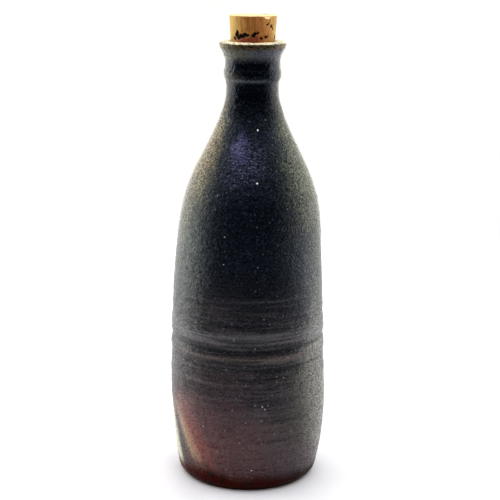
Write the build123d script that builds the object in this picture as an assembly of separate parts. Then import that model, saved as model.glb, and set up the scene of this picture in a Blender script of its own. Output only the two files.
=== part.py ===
from build123d import *

import os
from math import radians, tan

# Stoneware sake bottle with a tapered natural cork, in millimetres.
#
# The bottle is thrown in one piece, so it is one revolved solid: a foot with a shallow hollow,
# a full belly, a long sloping shoulder, a narrow neck with one raised bead, and a flared, rounded
# lip. The cork is a plain tapered plug that wedges in a matching seat just inside the mouth and
# lifts straight up. The origin is the centre of the foot, on the surface that the bottle stands
# on, with +Z up along the axis. Outline points are (radius, height).

# Driving dimensions of the bottle
RIM_HEIGHT = 240.0  # crown of the lip above the foot
BELLY_RADIUS = 42.0
NECK_RADIUS = 13.8  # at the waist of the neck
LIP_RADIUS = 18.0
WALL = 4.0
NECK_WALL = 3.5
FLOOR = 6.5
FLOOR_CORNER = 12.0  # reach of the rounded corner between wall and floor

# Foot: a flat ring to stand on around a shallow hollow, and a rounded heel
FOOT_RADIUS = 34.8  # edge that meets the table
FOOT_RING_INNER_RADIUS = 27.0
FOOT_HOLLOW_RADIUS = 23.0
FOOT_HOLLOW_DEPTH = 1.6
HEEL_BULGE = (37.4, 2.3)
HEEL_TOP = (38.6, 6.0)

# Body outline from the heel to the neck: (depth inside the belly's radius, height)
BODY_OUTLINE = [
    (1.6, 22.0),
    (0.0, 48.0),
    (0.4, 80.0),
    (1.7, 112.0),
    (4.2, 144.0),
    (9.3, 165.5),
    (17.9, 184.0),
    (24.5, 198.5),
    (27.5, 208.0),
]
INNER_WALL_STEP = 0.09  # share of the body outline between points of the inner wall
INNER_WALL_POINTS = 10

# Neck and flare outlines: (reach outside the neck's radius, height)
NECK_WAIST_HEIGHT = 213.8
BEAD_BOTTOM = (0.3, 218.9)
BEAD_CREST = (1.45, 222.4)
BEAD_TOP = (1.0, 225.4)
FLARE_OUTLINE = [(0.8, 228.6), (1.4, 232.0), (2.6, 234.7)]
FLARE_START_SLOPE = (-0.2, 1)
FLARE_END_SLOPE = (0.25, 1)

# Lip: (depth inside the lip's radius, height)
LIP_EDGE_HEIGHT = 238.2
LIP_OUTER_SHOULDER = (0.6, RIM_HEIGHT - 0.6)
LIP_CROWN = (3.2, RIM_HEIGHT)
LIP_INNER_SHOULDER = (5.3, RIM_HEIGHT - 1.0)

# Cork: a frustum whose wide end stands proud of the lip
CORK_TOP_HEIGHT = 253.4
CORK_LENGTH = 30.0
CORK_BOTTOM_HEIGHT = CORK_TOP_HEIGHT - CORK_LENGTH
CORK_TOP_RADIUS = 12.7
CORK_HALF_ANGLE = 3.62  # degrees from the axis
CORK_EDGE = 0.5

# Seat that the cork wedges in, which reaches a little below it
SEAT_TOP_HEIGHT = 236.5
SEAT_BOTTOM_HEIGHT = CORK_BOTTOM_HEIGHT - 0.6
SEAT_CLEARANCE = 0.1  # radial, around the seated cork


def cork_radius(height):
    """Radius of the seated cork at a height above the foot."""
    return CORK_TOP_RADIUS - (CORK_TOP_HEIGHT - height) * tan(radians(CORK_HALF_ANGLE))


def inside(radius, outline):
    """Outline points given by their depth inside a radius."""
    return [(radius - depth, height) for depth, height in outline]


def outside(radius, outline):
    """Outline points given by their reach outside a radius."""
    return [(radius + reach, height) for reach, height in outline]


def outer_outline():
    """The outside, from the foot's edge up to the widest edge of the lip."""
    neck_waist = (NECK_RADIUS, NECK_WAIST_HEIGHT)
    bead_bottom, bead_crest, bead_top = outside(NECK_RADIUS, [BEAD_BOTTOM, BEAD_CREST, BEAD_TOP])
    lip_edge = (LIP_RADIUS, LIP_EDGE_HEIGHT)

    heel = ThreePointArc((FOOT_RADIUS, 0), HEEL_BULGE, HEEL_TOP)
    wall_points = [HEEL_TOP, *inside(BELLY_RADIUS, BODY_OUTLINE), neck_waist]
    wall = Spline(*wall_points, tangents=[heel % 1, (0, 1)])
    under_bead = TangentArc(neck_waist, bead_bottom, tangent=(0, 1))
    bead = ThreePointArc(bead_bottom, bead_crest, bead_top)
    flare_points = [bead_top, *outside(NECK_RADIUS, FLARE_OUTLINE), lip_edge]
    flare = Spline(*flare_points, tangents=[FLARE_START_SLOPE, FLARE_END_SLOPE])
    return [heel, wall, under_bead, bead, flare]


def lip_outline():
    """The rounded lip, from its widest edge over the crown to the top of the cork's seat."""
    lip_edge = (LIP_RADIUS, LIP_EDGE_HEIGHT)
    seat_top = (cork_radius(SEAT_TOP_HEIGHT) + SEAT_CLEARANCE, SEAT_TOP_HEIGHT)
    shoulders = [LIP_OUTER_SHOULDER, LIP_CROWN, LIP_INNER_SHOULDER]
    outer_shoulder, crown, inner_shoulder = inside(LIP_RADIUS, shoulders)
    outer = Spline(lip_edge, outer_shoulder, crown, tangents=[(0, 1), (-1, 0)])
    inner = Spline(crown, inner_shoulder, seat_top, tangents=[(-1, 0), (0, -1)])
    return [outer, inner]


def inset(curve, share, depth):
    """Point at a depth inside an upward curve, square to it, a share of the way along."""
    along = curve % share
    return (curve @ share) + Vector(-along.Y, along.X) * depth


def inner_outline(outer_wall):
    """The inside, from the top of the cork's seat down to the centre of the floor."""
    seat_top = (cork_radius(SEAT_TOP_HEIGHT) + SEAT_CLEARANCE, SEAT_TOP_HEIGHT)
    seat_bottom = (cork_radius(SEAT_BOTTOM_HEIGHT) + SEAT_CLEARANCE, SEAT_BOTTOM_HEIGHT)
    neck_waist = (NECK_RADIUS - NECK_WALL, NECK_WAIST_HEIGHT)
    steps = range(1, INNER_WALL_POINTS + 1)
    body = [inset(outer_wall, 1 - INNER_WALL_STEP * step, WALL) for step in steps]

    seat = Line(seat_top, seat_bottom)
    wall = Spline(seat_bottom, neck_waist, *body)
    floor_edge = ((wall @ 1).X - FLOOR_CORNER, FLOOR)
    corner = Spline(wall @ 1, floor_edge, tangents=[wall % 1, (-1, 0)])
    floor = Line(floor_edge, (0, FLOOR))
    return [seat, wall, corner, floor]


def foot_outline():
    """The underside, from the centre of the hollow out to the foot's edge."""
    hollow_centre = (0, FOOT_HOLLOW_DEPTH)
    hollow_edge = (FOOT_HOLLOW_RADIUS, FOOT_HOLLOW_DEPTH)
    ring_inner = (FOOT_RING_INNER_RADIUS, 0)
    axis = Line((0, FLOOR), hollow_centre)
    hollow = Line(hollow_centre, hollow_edge)
    step = TangentArc(hollow_edge, ring_inner, tangent=(1, 0))
    ring = Line(ring_inner, (FOOT_RADIUS, 0))
    return [axis, hollow, step, ring]


def bottle():
    """The bottle as one revolved solid."""
    outer = outer_outline()
    _, outer_wall, *_ = outer
    outline = [*outer, *lip_outline(), *inner_outline(outer_wall), *foot_outline()]
    section = make_face(Plane.XZ * Curve(outline))
    return revolve(section, Axis.Z)


def cork():
    """The cork, seated in the mouth, with both ends' edges eased."""
    plug = Pos(0, 0, CORK_BOTTOM_HEIGHT) * Cone(
        cork_radius(CORK_BOTTOM_HEIGHT),
        CORK_TOP_RADIUS,
        CORK_LENGTH,
        align=(Align.CENTER, Align.CENTER, Align.MIN),
    )
    return fillet(plug.edges().filter_by(GeomType.CIRCLE), CORK_EDGE)


PARTS = {"bottle_body": bottle(), "cork_stopper": cork()}

os.makedirs("parts", exist_ok=True)
for name, solid in PARTS.items():
    export_step(solid, f"parts/{name}.step")
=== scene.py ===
import math

import bpy
import numpy as np
from mathutils import Matrix, Vector
from mathutils.bvhtree import BVHTree


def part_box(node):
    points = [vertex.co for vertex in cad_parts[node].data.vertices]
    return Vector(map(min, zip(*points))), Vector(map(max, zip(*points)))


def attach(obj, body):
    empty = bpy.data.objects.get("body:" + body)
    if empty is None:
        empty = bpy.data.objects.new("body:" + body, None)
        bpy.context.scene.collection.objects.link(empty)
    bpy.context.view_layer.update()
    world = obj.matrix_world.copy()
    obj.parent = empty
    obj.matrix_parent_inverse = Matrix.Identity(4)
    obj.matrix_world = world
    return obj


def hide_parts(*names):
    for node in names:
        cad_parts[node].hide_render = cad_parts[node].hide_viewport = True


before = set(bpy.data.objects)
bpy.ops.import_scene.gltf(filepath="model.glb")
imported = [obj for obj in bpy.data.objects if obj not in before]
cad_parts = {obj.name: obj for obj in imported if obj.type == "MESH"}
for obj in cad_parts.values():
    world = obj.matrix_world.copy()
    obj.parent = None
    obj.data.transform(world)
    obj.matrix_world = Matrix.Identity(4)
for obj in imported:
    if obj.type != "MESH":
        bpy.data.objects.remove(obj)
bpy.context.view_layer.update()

# A wood-fired stoneware sake bottle with a natural cork. The shapes start from the CAD solids'
# outlines, and carry the marks of throwing, the grit in the clay and the pits in the cork.
# Lengths are in millimetres until a mesh is made. An azimuth is in degrees around +Z: 0 is the
# front (-Y), and 90 is the right (+X). The relief of a surface is how far it stands proud.

MM = 0.001

# Large primes that scatter the fixed random numbers
SCATTERING_PRIMES = (73856093, 19349663, 83492791, 2654435761)
LAST_PRIME = 1274126177

# Camera
CAMERA_DISTANCE = 720.9  # in front of the bottle's axis
CAMERA_HEIGHT = 296.4
CAMERA_PITCH = 13.29  # degrees downward
CAMERA_ROLL = 0.62  # degrees
CAMERA_LENS = 97.3
SENSOR_WIDTH = 36.0

# Size of the bottle and cork, from the CAD solids
BOTTLE_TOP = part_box("bottle_body")[1].z / MM
BELLY_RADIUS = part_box("bottle_body")[1].x / MM
CORK_BOTTOM, CORK_TOP = (corner.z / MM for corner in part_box("cork_stopper"))
CORK_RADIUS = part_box("cork_stopper")[1].x / MM

# Fineness of the bottle's mesh
COLUMNS = 264
BODY_STEP = 1.0
NECK_STEP = 0.5
NECK_START = 204.0
INSIDE_STEP = 6.0
UNDER_STEP = 3.0
OUTLINE_STEP = 0.1  # between the heights where the outline is read
FOOT_LEVEL = 0.05  # lowest height where the outline is read
# The faceted CAD outline is evened out over these lengths, the longer one on the body
SHORT_BLUR = 0.4
LONG_BLUR = 4.0
FIRED_LIP_ROWS = 4  # rows inside the lip that look like the outside
LIP_STEPS = (0.05, 0.3, 0.7, 1.2, 1.8, 2.5, 3.4)  # depths of the rows inside the lip
CORNER_STEPS = (0.4, 2.0, 4.5, 8.0)  # from the wall at the foot of the inside to the floor
INSIDE_LOW = 12.0  # where the inside wall turns to the floor
INSIDE_FLOOR_RADIUS = 22.0

# How the axis wanders sideways, as thrown pots do: (height, sideways shift)
BOW = [(0, -0.45), (30, 0.1), (60, -0.6), (85, -0.95), (108, -1.0), (130, -0.7), (150, 0.0),
       (175, 0.3), (190, 0.4), (205, 0.4), (218, 0.3), (240, 0.3)]
# How the wall swells from the CAD outline: (height, swell)
SWELL = [(0, -0.5), (4, -0.2), (9, 0.35), (16, 0.75), (26, 0.65), (45, 0.75), (70, 0.4),
         (88, 0.4), (105, 0.45), (130, 0.25), (152, 0.7), (170, 0.6), (195, 0.3), (215, 0.15),
         (240, 0)]

# Throwing rings: (height, relief, half height, sideways tilt of the ring)
THROWING_RINGS = [
    (163.5, -0.08, 2.0, 0.6),
    (113.5, 0.06, 1.6, 0.5),
    (107.8, 0.10, 2.2, 0.5),
    (102.8, -0.10, 1.5, 0.4),
    (98.6, 0.10, 1.8, 0.4),
    (94.2, -0.16, 1.6, 0.4),
    (87.6, 0.20, 3.0, 0.3),
    (84.4, 0.18, 1.5, 0.3),
    (80.6, -0.46, 1.3, 0.3),
    (76.0, 0.28, 2.0, 0.3),
    (71.0, -0.24, 1.6, 0.4),
    (66.5, -0.10, 2.0, 0.4),
    (61.6, 0.14, 2.2, 0.4),
    (53.8, -0.10, 2.0, 0.4),
    (47.0, 0.08, 2.0, 0.4),
]

SEAT_SMOOTH = (190, 205)  # heights over which the inside turns smooth below the cork's seat

# Layers of smooth unevenness: (amount, size of its lumps, seed)
THROWING_RIPPLES = [(0.06, (60, 60, 4.2), 1), (0.04, (35, 35, 1.9), 2)]
SLOW_UNEVENNESS = [(0.14, 42, 3), (0.07, 14, 4)]
ORANGE_PEEL = [(0.055, 3.2, 5), (0.05, 1.7, 6)]
INSIDE_RIPPLES = [(0.25, (80, 80, 7), 8)]
LIP_WAVES = [(0.22, 16, 9), (0.10, 5, 10)]
LIP_WAVE_RADIUS = 30.0  # of the circle along which the lip's waves are read
CORK_GRAIN = [(0.03, (1.1, 1.1, 9), 12), (0.03, 1.3, 13)]
CORK_SHRINK = 0.05  # keeps the cork's grain inside its CAD solid

# Stones in the clay that stand out: (azimuth, height, radius, relief, paleness)
STONES = [
    (10, 195, 0.55, 0.20, 1.0),
    (6, 169, 0.55, 0.20, 1.0),
    (-30, 162, 0.45, 0.30, 0.25),
    (-30, 155, 0.35, 0.20, 0.25),
    (-20, 141.5, 0.5, 0.25, 0.30),
    (-20, 127, 0.4, 0.20, 0.40),
    (6, 126, 0.35, 0.20, 0.30),
    (10, 133, 0.3, 0.15, 0.25),
    (25, 200, 0.35, 0.20, 0.40),
    (32, 191, 0.3, 0.15, 0.30),
    (88, 156.5, 0.9, 0.45, 0.30),
    (10, 50.5, 0.5, 0.30, 0.45),
    (12, 49, 0.4, 0.30, 0.45),
    (3, 13.5, 0.5, 0.25, 0.50),
    (-35, 36.5, 0.4, 0.20, 0.45),
    (150, 138, 0.7, 0.25, 0.8),
    (-132, 84, 0.6, 0.25, 0.7),
    (112, 40, 0.7, 0.30, 0.6),
]
# Grains, and pits where grains fell out, scattered over the wall
GRAIN_COUNT = 2600
GRAIN_RADII = (0.5, 1.1)
GRAIN_RELIEF = 0.16

# Fineness of the cork's mesh, and its marks
CORK_COLUMNS = 300
CORK_STEP = 0.35
CORK_EDGE = 0.5
# Pits in the cork: (azimuth, depth below the top, half width, half height, depth)
CORK_PITS = [
    (-43, 9.4, 0.9, 1.9, 0.9),
    (-37, 11.3, 1.0, 0.9, 0.9),
    (-30, 10.2, 1.5, 0.9, 0.9),
    (-21, 9.9, 1.4, 0.9, 0.8),
    (-14, 9.6, 0.7, 0.6, 0.6),
    (2, 9.9, 1.2, 1.0, 0.8),
    (9, 9.1, 1.1, 0.8, 0.8),
    (22, 11.4, 0.7, 0.6, 0.6),
    (34, 10.9, 1.0, 0.8, 0.8),
    (75, 11.6, 0.7, 1.2, 0.7),
    (-53, 12.0, 0.8, 0.7, 0.6),
    (37, 4.3, 0.65, 0.65, 0.6),
    (50, 5.3, 0.7, 0.8, 0.6),
    (57, 6.8, 0.65, 0.9, 0.6),
    (84, 4.6, 0.6, 0.7, 0.5),
]
CORK_CHIP = (38, 2.2, 1.3, 1.1)  # azimuth, half width, height and depth of the chip in the top edge
PIT_WANDER = 0.7  # how far noise shifts the edges of the pits
# Small pits scattered over the back and the ends: their number, half heights, and how much wider
# than high they are
MORE_PITS = 70
PIT_AZIMUTHS = (95, 265)
PIT_RADII = (0.25, 0.6)
PIT_STRETCH = (1.0, 2.2)

# Patches of colour on the clay, with edges broken up by noise; a few of them are painted light, as
# marked:
# (azimuth, height, half width in degrees, half height, colour, share)
SHADES = [
    (-70, 178, 34, 32, "6e5e28", 0.85),
    (-58, 180, 15, 15, "6c4c24", 0.50),
    (-60, 150, 24, 22, "3c4630", 0.60),
    (66, 174, 34, 40, "5a5c34", 0.85),
    (-66, 112, 28, 60, "64675a", 0.62),
    (70, 122, 24, 56, "565a50", 0.60),
    # Pale ash on the lower right, which is also a painted highlight along the right edge
    (66, 42, 28, 52, "aeada0", 0.85),
    (44, 44, 26, 30, "4c4e44", 0.70),
    (30, 36, 20, 20, "282c26", 0.65),
    (2, 54, 34, 12, "241f30", 0.60),
    # Painted shade: the front of the neck and of the belly made darker
    (0, 206, 85, 9, "030307", 0.90),
    (0, 150, 40, 22, "04060f", 0.60),
    (-50, 221, 32, 5, "5c5540", 0.70),
    (160, 165, 46, 44, "5c5230", 0.75),
    (-135, 96, 36, 40, "40382f", 0.60),
    (140, 60, 40, 34, "3c3230", 0.60),
]
ASH_SPECKS = [
    (-66, 184, 24, 30, "b4a066", 0.50),
    (66, 180, 26, 32, "8e8c5e", 0.20),
]
# Painted reflection: a purple-blue sheen on the front of the shoulder
PAINTED_SHEEN = [
    (-9, 178, 25, 14, "3a394e", 0.75),
    (-14, 187, 12, 9, "69648a", 0.80),
]
# The colour of the painted glints in the sheen
PAINTED_GLINT = "a8a4bc"
CLAY_GLOSS = (0.78, 0.89, 1.0, 1.0)  # tint of the clay's reflections where it is seen square on
SCORCH = [
    (-30, 24, 44, 24, "7e5450", 0.85),
    (-18, 8, 50, 14, "5c3a38", 0.70),
    (-60, 38, 24, 17, "86625a", 0.72),
    (-20, 44, 34, 26, "523f42", 0.55),
    (10, 24, 40, 22, "5a4646", 0.50),
    (48, 12, 34, 12, "47353c", 0.60),
    (-176, 20, 50, 34, "634537", 0.75),
]
# Slanting marks of the flame and its ash, each painted over the last:
# (azimuth and height of the middle, half length, half width, tilt in degrees, colour, share)
FLAME_MARKS = [
    (-42, 27, 19, 6.0, 31, "82524a", 0.72),
    (-50, 26, 18, 3.2, 31, "a07a64", 0.85),
    (-55, 27, 17, 2.2, 29, "958a6e", 0.80),
    (-63, 24, 18, 3.4, 22, "34342c", 0.75),
    (-76, 20, 26, 6.0, 18, "cdceb4", 0.85),
]
STREAK_FINENESS = 0.7  # streaks to a millimetre, across a mark
STREAK_DRAW = 0.09  # share of that fineness along a mark

# Colours that the materials mix, as hexadecimal codes
PALETTE = {
    # Fired clay
    "blue black": "030818",
    "grey brown": "332c2b",
    "pale brown": "564a4a",
    "light cloud": "5f5056",
    "dark cloud": "1d1a1b",
    # Ridges, partly wear and partly a painted highlight, and grooves, painted shade
    "grey ridge": "6d6a6c",
    "brown ridge": "6b5f5a",
    "groove": "09090d",
    "light line": "635b5a",
    "dark line": "0c0c12",
    "blue grit": "5a6688",
    "grey grit": "85827a",
    "dark grit": "040508",
    "pale speck": "a8a498",
    "black speck": "060608",
    "white stone": "f8f5ee",
    "rust": "47150b",
    "dull rust": "2c1812",
    "soot": "15100c",
    # Painted highlight on the flare
    "grey flare highlight": "6e6c74",
    "olive flare highlight": "757564",
    "moss": "4b4a24",
    "umber": "6b4c30",
    "burnt lip": "14120c",
    "cream": "d8c7a2",
    "pale cream": "f0e6cc",
    "khaki": "a0946a",
    # Painted reflection under the bead
    "bead reflection": "74787e",
    # Raw clay
    "dark raw clay": "4a3026",
    "raw clay": "634435",
    "finger mark": "745340",
    "raw grit": "a3866c",
    "raw speck": "2a1c18",
    # Cork
    "golden cork": "ab8c48",
    "pale cork": "c0a264",
    "brown cork": "a86b35",
    "tan cork": "c0834d",
    "red stain": "994a42",
    "blotch": "7c4c22",
    "cork grain": "e6c48c",
    "cork end": "bfa878",
    "growth ring": "d6c6a0",
    "chip": "e6d4a6",
    "edge of a pit": "4a2a14",
    "pit": "120a06",
    # Floor
    "floor": "d6d3d5",
    "pale floor": "dbd8da",
}

# Heights between which the look of the clay changes: (start, end)
GRAIN_DRAGGED = (135, 95)
GROUND_BROWN = (135, 55)
GROUND_PALE = (60, 15)
CLOUDED = (110, 60)
LINED = (130, 85)
RIDGES_BROWN = (84, 79)
GRIT_GREY = (130, 50)
GRIT_FADED = (200, 214)
NECK_SMOOTH = (196, 212)
FOOT_DRY = (13, 6)
HEEL_BURNT = (18, 10)
LIP_WORN = (BOTTLE_TOP - 1.2, BOTTLE_TOP - 0.7)
# Heights between which a mark lies: (low, high, softness of both ends)
# The flare's band is a painted highlight, and the line under the bead a painted reflection
FLARE = (231.0, 238, 2.5)
LIP_EDGE = (BOTTLE_TOP - 3.8, BOTTLE_TOP - 1.0, 0.5)
BEAD_REFLECTION = (219.0, 220.4, 0.6)
# Azimuths between which a mark lies: (from, to, softness of both ends)
HEEL_SOOTY = (-64, -22, 14)
HEEL_DULL = (35, 150, 25)
# Azimuths of the olive part of the painted flare highlight, and of the painted reflection under the
# bead
FLARE_OLIVE = (-150, 0, 20)
BEAD_REFLECTION_REACH = (-140, 30, 20)
GROUND_DRIFT = 70.0  # how far the changes of the ground drift up and down with the noise
SOOT_RISE = 4.5  # how much higher the burnt heel reaches where it is sooty

# Gloss and roughness of the fired clay: the least, and what the grain adds
GLOSS = (0.30, 0.40)
ROUGHNESS = (0.08, 0.42)
NECK_LOSS = 0.25  # how much gloss and depth of grain the neck loses
FOOT_DRYNESS = 0.85
DRY_BANDS = [(200, 214, 4, 0.3), (140, 205, 12, 0.2)]  # (low, high, softness, share of gloss lost)
# Depths of the fired clay's finest relief
GRAIN_DEPTH = 0.50
DIMPLE_DEPTH = 0.30
LINE_DEPTH = 0.16

# Stage, in metres
FLOOR_REACH = (-0.45, 0.45, -0.42, 0.6)
BACKDROP = (0.7, 0.7, 0.695, 1.0)
# Light strengths and colours
WALL_LIGHT = 4.35
RIGHT_SHARE = 0.85  # strength of the right wall against the left
WALL_COLOUR = (1.0, 0.975, 0.91, 1.0)
CEILING_LIGHT = 1.45
CEILING_COLOUR = (0.93, 0.97, 1.0, 1.0)
DARK_LIGHT = 0.02
# Where the walls darken toward the front, as the front part of a direction: the middle of the
# change, and half its width at the left and at the right
OPENING = 0.02
OPENING_SOFTNESS = (0.22, 0.34)
# Where the back wall dims toward its middle, and where the ceiling starts: (start, end)
BACK_FADE = (0.15, 0.80)
BACK_SHARE = 0.45
CEILING_RISE = (0.34, 0.72)


def repeatable(seed):
    """A repeatable source of random numbers."""
    return np.random.default_rng(seed)


def corner_values(x, y, z, seed):
    """A fixed random number from -1 to 1 for each whole-number corner of a grid."""
    mixed = 0
    for number, prime in zip((x, y, z, seed), SCATTERING_PRIMES):
        mixed = mixed ^ (number * prime)
    mixed = (mixed ^ (mixed >> 13)) * LAST_PRIME
    sixteen_bits = (mixed ^ (mixed >> 16)) & 0xFFFF
    return sixteen_bits / (0xFFFF / 2) - 1.0


def noise(points, size, seed):
    """Smooth noise from -1 to 1 at an array of points, with lumps of a size along each axis."""
    scaled = points / np.asarray(size, float) + 1000.0
    cell = np.floor(scaled).astype(np.int64)
    part = scaled - cell
    part = part * part * (3 - 2 * part)
    total = np.zeros(points.shape[:-1])
    for corner in np.ndindex(2, 2, 2):
        at = cell + np.array(corner)
        share = np.prod(np.where(np.array(corner) == 1, part, 1 - part), axis=-1)
        total += share * corner_values(at[..., 0], at[..., 1], at[..., 2], seed)
    return total


def layered(points, layers):
    """The sum of several layers of smooth noise at an array of points."""
    return sum(amount * noise(points, size, seed) for amount, size, seed in layers)


def rise(value, low, high):
    """0 at low and 1 at high, smooth between them."""
    share = np.clip((value - low) / (high - low), 0, 1)
    return share * share * (3 - 2 * share)


def smooth_through(stations, heights):
    """A smooth curve through a few (height, value) stations, read at many heights."""
    known, values = np.array(stations, float).T
    slopes = np.gradient(values, known)
    index = np.clip(np.searchsorted(known, heights) - 1, 0, len(known) - 2)
    gap = known[index + 1] - known[index]
    share = np.clip((heights - known[index]) / gap, 0, 1)
    start, end = values[index], values[index + 1]
    rise_start, rise_end = slopes[index] * gap, slopes[index + 1] * gap
    squared, cubed = share**2, share**3
    return (
        start * (2 * cubed - 3 * squared + 1)
        + rise_start * (cubed - 2 * squared + share)
        + end * (3 * squared - 2 * cubed)
        + rise_end * (cubed - squared)
    )


def blurred(values, rows):
    """The values evened out over a number of neighbours, with the ends held."""
    reach = 3 * rows
    weights = np.exp(-0.5 * (np.arange(-reach, reach + 1) / rows) ** 2)
    before = 2 * values[0] - values[reach:0:-1]
    after = 2 * values[-1] - values[-2 : -reach - 2 : -1]
    padded = np.concatenate([before, values, after])
    return np.convolve(padded, weights / weights.sum(), mode="valid")


class Section:
    """A CAD solid's outline, read with rays in the plane where y is 0."""

    def __init__(self, node):
        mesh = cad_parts[node].data
        corners = [vertex.co / MM for vertex in mesh.vertices]
        self.tree = BVHTree.FromPolygons(corners, [face.vertices for face in mesh.polygons])

    def hit(self, start, direction):
        place, *_ = self.tree.ray_cast(Vector(start), Vector(direction))
        return place

    def outside(self, height):
        return self.hit((2 * BELLY_RADIUS, 0, height), (-1, 0, 0)).x

    def inside(self, height):
        return self.hit((0, 0, height), (1, 0, 0)).x

    def underside(self, radius):
        return self.hit((radius, 0, -1), (0, 0, 1)).z

    def floor(self, radius):
        return self.hit((radius, 0, BOTTLE_TOP / 4), (0, 0, -1)).z


def outside_rows(section):
    """Rows of (radius, height) up the outside, from the foot to the crown of the lip."""
    heights = np.arange(FOOT_LEVEL, BOTTLE_TOP - 0.01, OUTLINE_STEP)
    radii = np.array([section.outside(height) for height in heights])
    soft = blurred(radii, round(LONG_BLUR / OUTLINE_STEP))
    crisp = blurred(radii, round(SHORT_BLUR / OUTLINE_STEP))
    body = rise(heights, 14, 26) * (1 - rise(heights, 186, 200))
    radii = crisp + (soft - crisp) * body
    along = np.concatenate([[0], np.cumsum(np.hypot(np.diff(radii), np.diff(heights)))])
    neck = np.interp(NECK_START, heights, along)
    body_rows = np.linspace(0, neck, int(neck / BODY_STEP), endpoint=False)
    neck_rows = np.linspace(neck, along[-1], int((along[-1] - neck) / NECK_STEP))
    stops = np.concatenate([body_rows, neck_rows])
    return np.column_stack([np.interp(stops, along, radii), np.interp(stops, along, heights)])


def inside_rows(section):
    """Rows of (radius, height) from the crown of the lip down the inside to the floor's centre."""
    lip = [BOTTLE_TOP - drop for drop in LIP_STEPS]
    wall = np.arange(BOTTLE_TOP - 5, INSIDE_LOW, -INSIDE_STEP)
    rows = [(section.inside(height), height) for height in [*lip, *wall]]
    corner = [section.inside(INSIDE_LOW) - step for step in CORNER_STEPS]
    across = [*corner, *np.arange(INSIDE_FLOOR_RADIUS, 1, -INSIDE_STEP)]
    return np.array(rows + [(radius, section.floor(radius)) for radius in across])


def underside_rows(section):
    """Rows of (radius, height) from the centre of the underside out to the foot's edge."""
    edge = section.outside(FOOT_LEVEL)
    radii = [*np.arange(UNDER_STEP / 2, edge - 1, UNDER_STEP), edge - 0.5]
    return np.array([(radius, section.underside(radius)) for radius in radii])


def outline_normals(rows):
    """The direction square to each row of an outline, pointing out of the solid."""
    along = np.gradient(rows, axis=0)
    along /= np.linalg.norm(along, axis=1)[:, None]
    return np.column_stack([along[:, 1], -along[:, 0]])


def azimuths_of(columns):
    """The azimuths of a mesh's columns, evenly spaced all the way round from the back."""
    return np.arange(columns) * 360 / columns - 180


def ring_points(rows, azimuths):
    """Each row's points all the way round, as an array of rows by columns by (x, y, z)."""
    radius, height = rows[:, 0][:, None], rows[:, 1][:, None]
    angle = np.radians(azimuths)[None, :]
    return np.stack(
        [radius * np.sin(angle), -radius * np.cos(angle), height + 0 * angle], axis=-1
    )


def wrapped(azimuths):
    """Azimuths brought between -180 and 180."""
    return (azimuths + 180) % 360 - 180


def bump_at(relief, rows, azimuths, azimuth, height, half_width, half_height, amount):
    """Adds a rounded lump or pit to an array of relief."""
    radius = np.interp(height, rows[:, 1], rows[:, 0])
    near_rows = np.abs(rows[:, 1] - height) < 3 * half_height
    around = np.radians(wrapped(azimuths - azimuth)) * radius
    near_columns = np.abs(around) < 3 * half_width
    up = (rows[near_rows, 1] - height)[:, None] / half_height
    aside = around[near_columns][None, :] / half_width
    lump = amount * np.exp(-((up**2 + aside**2) ** 1.4))
    relief[np.ix_(near_rows, near_columns)] += lump


def throwing_relief(points, azimuths):
    """Rings, ridges and grooves left by the potter's fingers."""
    height = points[..., 2]
    angle = np.radians(azimuths)[None, :]
    relief = np.zeros(height.shape)
    for number, (level, amount, half, tilt) in enumerate(THROWING_RINGS):
        strength = 1 + 0.35 * noise(points, (45, 45, 400), 20 + number)
        wander = tilt * np.cos(angle - number) + 0.4 * noise(points, (30, 30, 400), 40 + number)
        relief += amount * strength * np.exp(-(((height - level - wander) / half) ** 2))
    tilted = points.copy()
    tilted[..., 2] += 0.8 * np.cos(angle + 1)
    lower = 0.35 + 0.65 * (1 - rise(height, 90, 130))
    above = 1 - rise(height, 195, 210)
    return relief + lower * above * layered(tilted, THROWING_RIPPLES)


def clay_relief(points):
    """Slow unevenness of the wall, and the orange-peel surface of the fired clay."""
    height = points[..., 2]
    slow = layered(points, SLOW_UNEVENNESS)
    slow *= rise(height, 0, 14) * (1 - 0.7 * rise(height, 200, 215))
    return slow + layered(points, ORANGE_PEEL) * (0.5 + 0.5 * rise(height, 1, 6))


def grit_relief(rows, azimuths):
    """Grains and small pits scattered over the wall, and the stones that stand out."""
    random = repeatable(7)
    relief = np.zeros((len(rows), len(azimuths)))
    top = rows[-1, 1] - 4
    for _ in range(GRAIN_COUNT):
        azimuth, height = random.uniform(-180, 180), random.uniform(3, top)
        radius = random.uniform(*GRAIN_RADII)
        amount = GRAIN_RELIEF * random.choice([1, 1, -1]) * random.uniform(0.4, 1)
        if random.uniform(0, 1) < np.interp(height, rows[:, 1], rows[:, 0]) / BELLY_RADIUS:
            bump_at(relief, rows, azimuths, azimuth, height, radius, radius, amount)
    for azimuth, height, radius, amount, _ in STONES:
        bump_at(relief, rows, azimuths, azimuth, height, radius, radius, amount)
    return relief


def bowed(points):
    """Points moved sideways by the wander of the axis at their height."""
    moved = points.copy()
    moved[..., 0] += smooth_through(BOW, points[..., 2])
    return moved


def bowed_with_lip(points):
    """Points moved sideways as the lip is, so that the cork stays straight in the mouth."""
    moved = points.copy()
    moved[..., 0] += BOW[-1][1]
    return moved


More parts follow.
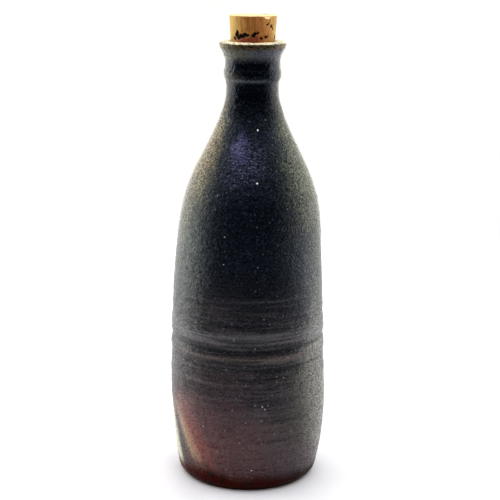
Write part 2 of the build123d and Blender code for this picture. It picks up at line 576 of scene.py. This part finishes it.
def closed_mesh(name, rings, centres, materials, ring_material):
    """A closed mesh through rings of points, from one centre point to the other.

    rings is an array of rings by columns by (x, y, z) in millimetres, and ring_material gives
    the material's number for each band of faces that starts at a ring.
    """
    count, columns, _ = rings.shape
    here = np.arange(columns)
    there = (here + 1) % columns
    start = np.arange(count - 1)[:, None] * columns
    bands = np.stack([start + here, start + there, start + columns + there, start + columns + here], -1)
    first, last = count * columns, count * columns + 1
    top = (count - 1) * columns
    foot_fan = np.stack([np.full(columns, first), there, here], -1)
    head_fan = np.stack([top + here, top + there, np.full(columns, last)], -1)
    faces = [*foot_fan.tolist(), *bands.reshape(-1, 4).tolist(), *head_fan.tolist()]
    places = np.vstack([rings.reshape(-1, 3), centres]) * MM

    mesh = bpy.data.meshes.new(name)
    mesh.from_pydata(places.tolist(), [], faces)
    for material in materials:
        mesh.materials.append(material)
    numbers = np.concatenate([
        np.full(columns, ring_material[0]),
        np.repeat(ring_material[:-1], columns),
        np.full(columns, ring_material[-1]),
    ])
    mesh.polygons.foreach_set("material_index", numbers.astype(np.int32))
    mesh.polygons.foreach_set("use_smooth", np.ones(len(faces), bool))
    mesh.update()
    piece = bpy.data.objects.new(name, mesh)
    bpy.context.scene.collection.objects.link(piece)
    return piece


def store(piece, name, values):
    """Keeps a number for each ring point on the mesh, for its material to read."""
    attribute = piece.data.attributes.new(name, "FLOAT", "POINT")
    full = np.concatenate([values.ravel(), [0, 0]])
    attribute.data.foreach_set("value", full.astype(np.float32))


def make_bottle(clay, raw_clay):
    """The thrown bottle: its underside, outside, lip and inside in one closed skin."""
    section = Section("bottle_body")
    azimuths = azimuths_of(COLUMNS)
    under, outer, inner = underside_rows(section), outside_rows(section), inside_rows(section)
    rows = np.vstack([under, outer, inner])
    points = ring_points(rows, azimuths)
    normals = ring_points(outline_normals(rows), azimuths)

    outside = slice(len(under), len(under) + len(outer))
    thrown = throwing_relief(points[outside], azimuths)
    foot = rise(outer[:, 1], 0, 3)[:, None]
    lip = 1 - rise(outer[:, 1], BOTTLE_TOP - 1.5, BOTTLE_TOP)[:, None]
    grit = clay_relief(points[outside]) + grit_relief(outer, azimuths)
    relief = np.zeros(points.shape[:2])
    swell = smooth_through(SWELL, outer[:, 1])[:, None]
    relief[outside] = (swell + (thrown + grit) * foot) * lip
    below_seat = 1 - rise(inner[:, 1], *SEAT_SMOOTH)[:, None]
    inside = slice(outside.stop, None)
    relief[inside] = layered(points[inside], INSIDE_RIPPLES) * below_seat

    shaped = points + normals * relief[..., None]
    near_lip = rise(rows[:, 1], BOTTLE_TOP - 8, BOTTLE_TOP)[:, None]
    around = ring_points(np.array([[LIP_WAVE_RADIUS, 0.0]]), azimuths)
    shaped[..., 2] += near_lip * layered(around, LIP_WAVES)
    shaped = bowed(shaped)

    centres = bowed(np.array([[0, 0, section.underside(0.1)], [0, 0, section.floor(0.1)]]))
    raw = np.ones(len(rows), int)
    raw[len(under) : len(under) + len(outer) + FIRED_LIP_ROWS] = 0
    bottle = closed_mesh("bottle", shaped, centres, [clay, raw_clay], raw)
    store(bottle, "thrown", np.pad(thrown, ((len(under), len(inner)), (0, 0))))
    return bottle


def dented(points, centre, half_width, half_height):
    """How deep each point lies in a rounded pit: 1 at its centre and 0 outside it."""
    gap = points - centre
    aside = np.hypot(gap[..., 0], gap[..., 1]) / half_width
    return np.exp(-((aside**2 + (gap[..., 2] / half_height) ** 2) ** 1.5))


def around_axis(azimuth, radius, height):
    """The point at an azimuth, radius and height."""
    angle = math.radians(azimuth)
    return np.array([radius * math.sin(angle), -radius * math.cos(angle), height])


def cork_rows(section):
    """Rows of (radius, height) from the centre of the cork's bottom round to that of its top."""
    low, high = CORK_BOTTOM + CORK_EDGE, CORK_TOP - CORK_EDGE
    heights = np.linspace(low, high, int((high - low) / CORK_STEP))
    side = [(section.outside(height), height) for height in heights]
    turn = np.radians(np.linspace(15, 90, 6))
    ends = []
    for (radius, height), sign in ((side[0], -1), (side[-1], 1)):
        core = radius - CORK_EDGE
        eased = CORK_EDGE * np.column_stack([np.cos(turn), sign * np.sin(turn)])
        rounded = [(core + aside, height + above) for aside, above in eased]
        across = np.arange(core - CORK_STEP, CORK_STEP, -CORK_STEP)
        ends.append(rounded + [(inner, rounded[-1][1]) for inner in across])
    return np.array(ends[0][::-1] + side + ends[1])


def cork_marks(section):
    """Pits of the cork as (centre, half width, half height, depth): the named ones, then the rest."""
    marks = []
    for azimuth, below, half_width, half_height, depth in CORK_PITS:
        height = CORK_TOP - below
        centre = around_axis(azimuth, section.outside(height), height)
        marks.append((centre, half_width, half_height, depth))
    random = repeatable(11)
    for number in range(MORE_PITS):
        size = random.uniform(*PIT_RADII)
        stretch = random.uniform(*PIT_STRETCH)
        azimuth = random.uniform(*PIT_AZIMUTHS)
        height = random.uniform(CORK_BOTTOM + 1, CORK_TOP - 1)
        if number % 3 == 0:
            radius = CORK_RADIUS * math.sqrt(random.uniform(0, 0.8))
            centre = around_axis(2 * azimuth, radius, CORK_TOP if number % 2 else CORK_BOTTOM)
        else:
            centre = around_axis(azimuth, section.outside(height), height)
        marks.append((centre, size * stretch, size, size))
    return marks


def make_cork(material):
    """The natural cork, with its grain, its pits and a chip out of the top edge."""
    section = Section("cork_stopper")
    azimuths = azimuths_of(CORK_COLUMNS)
    rows = cork_rows(section)
    points = ring_points(rows, azimuths)
    normals = ring_points(outline_normals(rows), azimuths)

    relief = layered(points, CORK_GRAIN) - CORK_SHRINK
    pits = np.zeros(points.shape[:2])
    wander = np.stack([noise(points, 0.9, seed) for seed in (14, 15, 16)], -1)
    ragged = points + PIT_WANDER * wander
    for centre, half_width, half_height, depth in cork_marks(section):
        dent = dented(ragged, centre, half_width, half_height)
        relief -= depth * dent
        pits = np.maximum(pits, dent)
    azimuth, half_width, half_height, depth = CORK_CHIP
    chip_centre = around_axis(azimuth, CORK_RADIUS, CORK_TOP)
    chip = dented(points, chip_centre, half_width, half_height)
    shaped = points + normals * relief[..., None]
    shaped[..., 2] -= depth * chip

    centres = np.array([[0, 0, CORK_BOTTOM], [0, 0, CORK_TOP]])
    shaped, centres = bowed_with_lip(shaped), bowed_with_lip(centres)
    cork = closed_mesh("cork", shaped, centres, [material], np.zeros(len(rows), int))
    store(cork, "pit", pits)
    store(cork, "chip", chip)
    return cork


class Graph:
    """A node tree, made one call at a time. Positions in it are in millimetres."""

    def __init__(self, name):
        self.material = bpy.data.materials.new(name)
        self.material.use_nodes = True
        self.tree = self.material.node_tree
        self.tree.nodes.clear()
        coordinates = self.put("ShaderNodeTexCoord", {})
        self.place = self.scaled(coordinates.outputs["Object"], (1 / MM, 1 / MM, 1 / MM))
        split = self.put("ShaderNodeSeparateXYZ", {0: self.place})
        x, y, self.height = split.outputs
        radians = self.math("ARCTAN2", x, self.math("MULTIPLY", y, -1.0))
        self.azimuth = self.math("DEGREES", radians)

    def put(self, kind, inputs, **settings):
        """A new node with its settings, and its inputs set or linked."""
        node = self.tree.nodes.new(kind)
        for key, value in settings.items():
            setattr(node, key, value)
        for key, value in inputs.items():
            if isinstance(value, bpy.types.NodeSocket):
                self.tree.links.new(value, node.inputs[key])
            else:
                node.inputs[key].default_value = value
        return node

    def math(self, operation, first, second=0.0, third=0.0):
        inputs = {0: first, 1: second, 2: third}
        return self.put("ShaderNodeMath", inputs, operation=operation).outputs[0]

    def scaled(self, vector, factors):
        node = self.put("ShaderNodeVectorMath", {0: vector, 1: factors}, operation="MULTIPLY")
        return node.outputs[0]

    def rise(self, value, low, high):
        """0 at low and 1 at high, smooth between them."""
        inputs = {"Value": value, "From Min": low, "From Max": high}
        return self.put("ShaderNodeMapRange", inputs, interpolation_type="SMOOTHSTEP").outputs[0]

    def band(self, value, low, high, soft):
        """1 between low and high, and 0 outside them."""
        up = self.rise(value, low - soft, low + soft)
        down = self.rise(value, high + soft, high - soft)
        return self.math("MULTIPLY", up, down)

    def noise(self, size, detail=2.0, stretch=(1, 1, 1), seed=0.0, rough=0.5):
        """Noise from about 0.25 to 0.75, with lumps of a size in millimetres."""
        where = self.scaled(self.place, tuple(1 / factor for factor in stretch))
        inputs = {"Vector": where, "W": seed, "Scale": 1 / size, "Detail": detail, "Roughness": rough}
        return self.put("ShaderNodeTexNoise", inputs, noise_dimensions="4D").outputs[0]

    def patch(self, azimuth, height, half_width, half_height, edge):
        """1 inside an oval around an azimuth and height, with an edge broken up by noise."""
        turned = self.math("WRAP", self.math("SUBTRACT", self.azimuth, azimuth), 180.0, -180.0)
        aside = self.math("DIVIDE", turned, half_width)
        above = self.math("DIVIDE", self.math("SUBTRACT", self.height, height), half_height)
        squares = [self.math("MULTIPLY", value, value) for value in (aside, above)]
        far = self.math("SQRT", self.math("ADD", *squares))
        ragged = self.math("ADD", far, self.math("MULTIPLY", self.math("SUBTRACT", edge, 0.5), 2.0))
        return self.rise(ragged, 1.35, 0.35)

    def patches(self, tone, rows, edge, spots):
        """The colour with each row's patch laid on it, thinned out by the spots."""
        for *place, code, share in rows:
            amount = self.times(self.patch(*place, edge), spots, share)
            tone = self.mix(amount, tone, colour(code))
        return tone

    def mix(self, share, under, over):
        """The under colour, with the over colour laid on it by a share."""
        node = self.put("ShaderNodeMix", {0: share, 6: under, 7: over}, data_type="RGBA")
        return node.outputs[2]

    def times(self, *values):
        product = values[0]
        for value in values[1:]:
            product = self.math("MULTIPLY", product, value)
        return product

    def stored(self, name):
        return self.put("ShaderNodeAttribute", {}, attribute_name=name).outputs["Fac"]

    def specks(self, spacing, radius):
        """Up to 1 in small round specks scattered through the clay, some bolder than others."""
        cells = self.put("ShaderNodeTexVoronoi", {"Vector": self.place, "Scale": 1 / spacing})
        spot = self.rise(cells.outputs["Distance"], radius / spacing, 0.5 * radius / spacing)
        chance = self.put("ShaderNodeSeparateColor", {0: cells.outputs["Color"]}).outputs[0]
        return self.math("MULTIPLY", spot, chance)

    def spot(self, azimuth, height, radius):
        """1 in a small spot at an azimuth and height, round where the wall is upright."""
        flat = self.put("ShaderNodeVectorMath", {0: self.place, 1: (1, 1, 0)}, operation="MULTIPLY")
        reach = self.put("ShaderNodeVectorMath", {0: flat.outputs[0]}, operation="LENGTH")
        turned = self.math("WRAP", self.math("SUBTRACT", self.azimuth, azimuth), 180.0, -180.0)
        aside = self.times(turned, math.radians(1), reach.outputs["Value"])
        above = self.math("SUBTRACT", self.height, height)
        squares = [self.math("MULTIPLY", value, value) for value in (aside, above)]
        far = self.math("SQRT", self.math("ADD", *squares))
        return self.rise(far, 1.2 * radius, 0.7 * radius)

    def bump(self, height, depth, normal=None):
        """The normal bent by a relief of a depth in millimetres, on top of another normal."""
        inputs = {"Height": height, "Distance": self.times(depth, MM), "Strength": 1.0}
        if normal is not None:
            inputs["Normal"] = normal
        return self.put("ShaderNodeBump", inputs).outputs[0]

    def finish(self, tone, rough, normal, others):
        """Joins the colour, roughness, normal and other inputs to the surface shader."""
        inputs = {"Base Color": tone, "Roughness": rough, "Normal": normal, **others}
        shader = self.put("ShaderNodeBsdfPrincipled", inputs)
        self.put("ShaderNodeOutputMaterial", {"Surface": shader.outputs[0]})
        return self.material


def colour(code):
    """A linear colour from six hexadecimal digits."""
    parts = [int(code[start : start + 2], 16) / 255 for start in (0, 2, 4)]
    linear = [part / 12.92 if part <= 0.04045 else ((part + 0.055) / 1.055) ** 2.4 for part in parts]
    return (*linear, 1.0)


def paint(name):
    """A linear colour of the palette."""
    return colour(PALETTE[name])


def fired_clay():
    """The bottle's outside: dark iron clay with ash, scorch and flame marks, and grit, and painted
    light: a painted sheen with glints, painted shade at the front and in the grooves, painted
    highlights on the ridges, the flare and the lower right, and a painted reflection under the bead.
    """
    g = Graph("fired_clay")
    edge = g.noise(14, 5, seed=2, rough=0.65)
    round_grain = g.noise(1.0, 3, seed=3, rough=0.65)
    dragged_grain = g.noise(0.7, 3, stretch=(2.0, 2.0, 1), seed=18, rough=0.65)
    dragged = g.times(g.rise(g.height, *GRAIN_DRAGGED), 0.65)
    change = g.math("SUBTRACT", dragged_grain, round_grain)
    grain = g.math("ADD", round_grain, g.times(change, dragged))
    lines = g.noise(1.4, 3, stretch=(24, 24, 1), seed=4, rough=0.65)
    drift = g.math("SUBTRACT", g.noise(30, 4, seed=1), 0.5)
    level = g.math("ADD", g.height, g.times(drift, GROUND_DRIFT))

    # The ground, which turns from blue-black to grey-brown towards the foot
    tone = g.mix(g.rise(level, *GROUND_BROWN), paint("blue black"), paint("grey brown"))
    tone = g.mix(g.times(g.rise(level, *GROUND_PALE), 0.6), tone, paint("pale brown"))
    clouds = g.noise(11, 4, (1.6, 1.6, 1), 17, 0.6)
    low = g.rise(level, *CLOUDED)
    tone = g.mix(g.times(g.rise(clouds, 0.52, 0.64), low, 0.5), tone, paint("light cloud"))
    tone = g.mix(g.times(g.rise(clouds, 0.48, 0.36), low, 0.6), tone, paint("dark cloud"))
    # Colour patches, among them painted shade at the front and a painted highlight on the lower right
    tone = g.patches(tone, SHADES, edge, g.rise(grain, 0.38, 0.64))
    tone = g.patches(tone, ASH_SPECKS, edge, g.rise(grain, 0.50, 0.60))
    # Painted reflection: the purple-blue sheen on the front of the shoulder, with painted glints in it
    tone = g.patches(tone, PAINTED_SHEEN, edge, g.rise(grain, 0.30, 0.62))
    painted_glints = g.rise(g.noise(0.9, 1, (1.6, 1.6, 0.6), 15), 0.56, 0.68)
    tone = g.mix(g.times(g.patch(*PAINTED_SHEEN[0][:4], edge), painted_glints, 0.42), tone, colour(PAINTED_GLINT))
    tone = g.patches(tone, SCORCH, edge, g.rise(grain, 0.20, 0.50))
    tone = throwing_marks(g, tone, lines)
    tone = flame(g, tone, grain)
    tone = lip_and_neck(g, tone, grain)
    tone = grit(g, tone, grain)
    tone = heel(g, tone, edge)

    neck = g.rise(g.height, *NECK_SMOOTH)
    surface = g.bump(grain, g.math("SUBTRACT", GRAIN_DEPTH, g.times(neck, NECK_LOSS)))
    surface = g.bump(g.noise(2.6, 2, seed=6), DIMPLE_DEPTH, surface)
    surface = g.bump(lines, LINE_DEPTH, surface)
    least_rough, rough_grain = ROUGHNESS
    rough = g.math("ADD", g.math("MULTIPLY", grain, rough_grain), least_rough)
    dry = g.times(g.rise(g.height, *FOOT_DRY), FOOT_DRYNESS)
    for *place, share in DRY_BANDS:
        dry = g.math("ADD", dry, g.times(g.band(g.height, *place), share))
    least_gloss, glossy_grain = GLOSS
    glossy = g.math("SUBTRACT", glossy_grain, g.times(neck, NECK_LOSS))
    gloss = g.math("ADD", g.times(g.rise(grain, 0.36, 0.62), glossy), least_gloss)
    gloss = g.times(gloss, g.math("SUBTRACT", 1.0, dry))
    others = {"IOR": 1.42, "Specular Tint": CLAY_GLOSS, "Specular IOR Level": gloss}
    return g.finish(tone, rough, surface, others)


def throwing_marks(g, tone, lines):
    """Ridges a little lighter, partly from wear and partly as a painted highlight, grooves a little
    darker as painted shade, and fine lines low down.
    """
    thrown = g.stored("thrown")
    low = g.rise(g.height, *LINED)
    wear_and_highlight = g.mix(g.rise(g.height, *RIDGES_BROWN), paint("grey ridge"), paint("brown ridge"))
    streaky = g.math("ADD", g.times(g.rise(lines, 0.40, 0.60), 0.55), 0.30)
    # Lighter ridges: partly wear, partly a painted highlight
    tone = g.mix(g.times(g.rise(thrown, 0.04, 0.28), streaky), tone, wear_and_highlight)
    # Darker grooves: painted shade
    tone = g.mix(g.times(g.rise(thrown, -0.08, -0.30), 0.7), tone, paint("groove"))
    tone = g.mix(g.times(g.rise(lines, 0.48, 0.66), low, 0.42), tone, paint("light line"))
    return g.mix(g.times(g.rise(lines, 0.46, 0.34), low, 0.45), tone, paint("dark line"))


def grit(g, tone, grain):
    """Sand in the clay: a fine light and dark grain, with paler and blacker specks."""
    low = g.rise(g.height, *GRIT_GREY)
    light = g.times(g.rise(grain, 0.54, 0.70), g.math("ADD", g.times(low, 0.14), 0.32))
    tone = g.mix(light, tone, g.mix(low, paint("blue grit"), paint("grey grit")))
    faded = g.times(g.rise(g.height, *GRIT_FADED), 0.45)
    smooth = g.math("ADD", g.times(low, 0.35), faded)
    dark = g.times(g.rise(grain, 0.47, 0.32), g.math("SUBTRACT", 0.8, smooth))
    tone = g.mix(dark, tone, paint("dark grit"))
    pale = g.times(g.specks(3.9, 0.58), g.math("ADD", g.times(low, 0.40), 0.40))
    tone = g.mix(pale, tone, paint("pale speck"))
    tone = g.mix(g.specks(3.1, 0.6), tone, paint("black speck"))
    for azimuth, height, radius, _, paleness in STONES:
        tone = g.mix(g.times(g.spot(azimuth, height, radius), paleness), tone, paint("white stone"))
    return tone


def heel(g, tone, edge):
    """The dark red-brown band just above the foot, higher and blacker at the left."""
    left = g.band(g.azimuth, *HEEL_SOOTY)
    wavy = g.math("ADD", g.height, g.times(edge, 12.0))
    level = g.math("SUBTRACT", wavy, g.times(left, SOOT_RISE))
    band = g.rise(level, *HEEL_BURNT)
    soot = g.rise(g.noise(5, 3, seed=10), 0.48, 0.62)
    black = g.times(soot, g.math("ADD", g.times(left, 0.35), 0.55))
    rust = g.mix(g.band(g.azimuth, *HEEL_DULL), paint("rust"), paint("dull rust"))
    burnt = g.mix(black, rust, paint("soot"))
    return g.mix(g.times(band, 0.95), tone, burnt)


def flame(g, tone, grain):
    """The slanting marks of the flame at the lower left, with the pale ash beyond them."""
    arc = math.radians(1) * BELLY_RADIUS
    for azimuth, height, half_length, half_width, tilt, code, share in FLAME_MARKS:
        aside = g.times(g.math("SUBTRACT", g.azimuth, azimuth), arc)
        below = g.math("SUBTRACT", height, g.height)
        cosine, sine = math.cos(math.radians(tilt)), math.sin(math.radians(tilt))
        across = g.math("SUBTRACT", g.times(aside, cosine), g.times(below, sine))
        along = g.math("ADD", g.times(aside, sine), g.times(below, cosine))
        drawn_out = g.times(along, STREAK_DRAW)
        place = g.put("ShaderNodeCombineXYZ", {0: across, 1: drawn_out}).outputs[0]
        inputs = {"Vector": place, "Scale": STREAK_FINENESS, "Detail": 5.0, "Roughness": 0.7}
        streaks = g.put("ShaderNodeTexNoise", inputs).outputs[0]
        parts = [g.math("DIVIDE", across, half_width), g.math("DIVIDE", along, half_length)]
        far = g.math("SQRT", g.math("ADD", *[g.math("MULTIPLY", part, part) for part in parts]))
        ragged = g.math("ADD", far, g.times(g.math("SUBTRACT", streaks, 0.5), 2.2))
        body = g.times(g.rise(ragged, 1.35, 0.55), g.rise(grain, 0.30, 0.45), share)
        tone = g.mix(body, tone, colour(code))
    return tone


def lip_and_neck(g, tone, grain):
    """The worn pale crown of the lip, its speckled edge, a painted highlight on the flare, and a
    painted reflection as a light line under the bead.
    """
    uneven = g.times(g.math("SUBTRACT", g.noise(3, 3, seed=11), 0.5), 1.8)
    level = g.math("ADD", g.height, uneven)
    # Painted highlight: a lighter grey and olive band on the flare
    flare = g.times(g.band(g.height, *FLARE), g.rise(grain, 0.1, 0.5), 0.75)
    flare_highlight_tints = g.mix(g.band(g.azimuth, *FLARE_OLIVE), paint("grey flare highlight"), paint("olive flare highlight"))
    tone = g.mix(flare, tone, flare_highlight_tints)
    edge = g.band(level, *LIP_EDGE)
    mottle = g.mix(g.rise(g.noise(1.4, 3, seed=12), 0.42, 0.58), paint("moss"), paint("umber"))
    mottle = g.mix(g.rise(g.noise(1.1, 3, seed=16), 0.54, 0.62), mottle, paint("burnt lip"))
    tone = g.mix(g.times(edge, 0.9), tone, mottle)
    wear_and_highlight = g.rise(level, *LIP_WORN)
    cream = g.mix(g.rise(grain, 0.4, 0.6), paint("cream"), paint("pale cream"))
    cream = g.mix(g.rise(g.math("ABSOLUTE", g.azimuth), 35, 65), cream, paint("khaki"))
    tone = g.mix(g.times(wear_and_highlight, 0.95), tone, cream)
    # Painted reflection: a light line under the bead
    around = g.band(g.azimuth, *BEAD_REFLECTION_REACH)
    line = g.times(g.band(g.height, *BEAD_REFLECTION), around, g.rise(grain, 0.2, 0.5))
    return g.mix(g.times(line, 0.6), tone, paint("bead reflection"))


def raw_clay():
    """The inside and the underside: plain red-brown clay with the potter's finger marks."""
    g = Graph("raw_clay")
    grain = g.noise(1.2, 3, seed=3, rough=0.7)
    clouds = g.noise(14, 3, seed=5)
    lines = g.noise(3.0, 2, stretch=(16, 16, 1), seed=7)
    tone = g.mix(g.rise(clouds, 0.35, 0.65), paint("dark raw clay"), paint("raw clay"))
    tone = g.mix(g.times(g.rise(lines, 0.45, 0.65), 0.4), tone, paint("finger mark"))
    tone = g.mix(g.times(g.rise(grain, 0.58, 0.7), 0.5), tone, paint("raw grit"))
    tone = g.mix(g.specks(4.0, 0.6), tone, paint("raw speck"))
    surface = g.bump(lines, 0.15, g.bump(grain, 0.2))
    rough = g.math("ADD", g.math("MULTIPLY", grain, 0.2), 0.65)
    return g.finish(tone, rough, surface, {"IOR": 1.45})


def natural_cork():
    """Natural cork: upright grain, darker pits, a browner front and golden sides."""
    g = Graph("natural_cork")
    streaks = g.noise(1.0, 3, stretch=(1, 1, 8), seed=1)
    blotches = g.noise(3.2, 4, seed=2)
    grain = g.noise(0.5, 2, seed=3)
    edges = g.noise(4, 3, stretch=(1, 1, 4), seed=4)
    tone = g.mix(g.rise(streaks, 0.35, 0.65), paint("golden cork"), paint("pale cork"))
    brown = g.patch(14, CORK_TOP - 4, 56, 40, edges)
    browns = g.mix(g.rise(streaks, 0.4, 0.6), paint("brown cork"), paint("tan cork"))
    tone = g.mix(g.times(brown, 0.85), tone, browns)
    red = g.times(g.patch(-12, CORK_TOP - 12.5, 42, 2.4, edges), 0.8)
    tone = g.mix(red, tone, paint("red stain"))
    tone = g.mix(g.times(g.rise(blotches, 0.52, 0.66), 0.3), tone, paint("blotch"))
    tone = g.mix(g.times(g.rise(grain, 0.55, 0.7), 0.3), tone, paint("cork grain"))
    top = g.rise(g.height, CORK_TOP - 0.35, CORK_TOP - 0.15)
    rings = g.noise(1.1, 4, stretch=(9, 1, 9), seed=5, rough=0.6)
    end = g.mix(g.rise(rings, 0.42, 0.60), paint("cork end"), paint("growth ring"))
    tone = g.mix(g.times(top, 0.9), tone, end)
    tone = g.mix(g.times(g.stored("chip"), 0.8), tone, paint("chip"))
    pit = g.stored("pit")
    tone = g.mix(g.rise(pit, 0.08, 0.30), tone, paint("edge of a pit"))
    tone = g.mix(g.rise(pit, 0.28, 0.60), tone, paint("pit"))
    surface = g.bump(grain, 0.12, g.bump(streaks, 0.15))
    rough = g.math("ADD", g.math("MULTIPLY", grain, 0.2), 0.55)
    return g.finish(tone, rough, surface, {"IOR": 1.4})


def make_floor():
    """A pale sheet to stand on."""
    mesh = bpy.data.meshes.new("floor")
    left, right, front, back = FLOOR_REACH
    corners = [(left, front, 0), (right, front, 0), (right, back, 0), (left, back, 0)]
    mesh.from_pydata(corners, [], [range(4)])
    g = Graph("pale_floor")
    even = g.noise(40, 2)
    tone = g.mix(g.rise(even, 0.3, 0.7), paint("floor"), paint("pale floor"))
    mesh.materials.append(g.finish(tone, 0.8, g.bump(even, 0.05), {}))
    floor = bpy.data.objects.new("floor", mesh)
    bpy.context.scene.collection.objects.link(floor)


class WorldGraph(Graph):
    """A world's node tree, with the same calls."""

    def __init__(self, name):
        world = bpy.data.worlds.new(name)
        world.use_nodes = True
        bpy.context.scene.world = world
        self.tree = world.node_tree
        self.tree.nodes.clear()


def make_light():
    """Soft light from white walls, a white ceiling and a dimmer back, and a dark front."""
    g = WorldGraph("studio")
    direction = g.put("ShaderNodeTexCoord", {}).outputs["Generated"]
    right, back, up = g.put("ShaderNodeSeparateXYZ", {0: direction}).outputs
    ceiling = g.rise(up, *CEILING_RISE)
    dimmed = g.math("SUBTRACT", 1.0, g.times(g.rise(back, *BACK_FADE), 1 - BACK_SHARE))
    left_soft, right_soft = OPENING_SOFTNESS
    right_side = g.rise(right, -0.3, 0.3)
    soft = g.math("ADD", g.times(right_side, right_soft - left_soft), left_soft)
    side_share = g.math("SUBTRACT", 1.0, g.times(right_side, 1 - RIGHT_SHARE))
    front = g.math("MULTIPLY", back, -1.0)
    darkest = g.math("ADD", OPENING, soft)
    brightest = g.math("SUBTRACT", OPENING, soft)
    wall_share = g.times(g.rise(front, darkest, brightest), g.math("SUBTRACT", 1.0, ceiling))
    strength = g.times(wall_share, dimmed, side_share, WALL_LIGHT)
    wall = g.put("ShaderNodeBackground", {"Color": WALL_COLOUR, "Strength": strength})
    above = g.math("ADD", g.times(ceiling, CEILING_LIGHT), DARK_LIGHT)
    over = g.put("ShaderNodeBackground", {"Color": CEILING_COLOUR, "Strength": above})
    lit = g.put("ShaderNodeAddShader", {0: wall.outputs[0], 1: over.outputs[0]})
    seen = g.put("ShaderNodeBackground", {"Color": BACKDROP})
    by_camera = g.put("ShaderNodeLightPath", {}).outputs["Is Camera Ray"]
    shader = g.put("ShaderNodeMixShader", {0: by_camera, 1: lit.outputs[0], 2: seen.outputs[0]})
    g.put("ShaderNodeOutputWorld", {"Surface": shader.outputs[0]})


def make_camera():
    """The camera, a little above the cork and looking down at the belly."""
    data = bpy.data.cameras.new("camera")
    data.lens = CAMERA_LENS
    data.sensor_width = SENSOR_WIDTH
    camera = bpy.data.objects.new("camera", data)
    pitch = Matrix.Rotation(math.radians(90 - CAMERA_PITCH), 4, "X")
    roll = Matrix.Rotation(math.radians(CAMERA_ROLL), 4, "Z")
    place = Matrix.Translation((0, -CAMERA_DISTANCE * MM, CAMERA_HEIGHT * MM))
    camera.matrix_world = place @ pitch @ roll
    bpy.context.scene.collection.objects.link(camera)
    bpy.context.scene.camera = camera


def main():
    bottle = make_bottle(fired_clay(), raw_clay())
    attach(bottle, "bottle")
    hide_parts("bottle_body")
    cork = make_cork(natural_cork())
    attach(cork, "cork")
    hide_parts("cork_stopper")
    make_floor()
    make_light()
    make_camera()
    bpy.context.scene.view_settings.view_transform = "Standard"
    bpy.context.scene.view_settings.look = "High Contrast"


main()
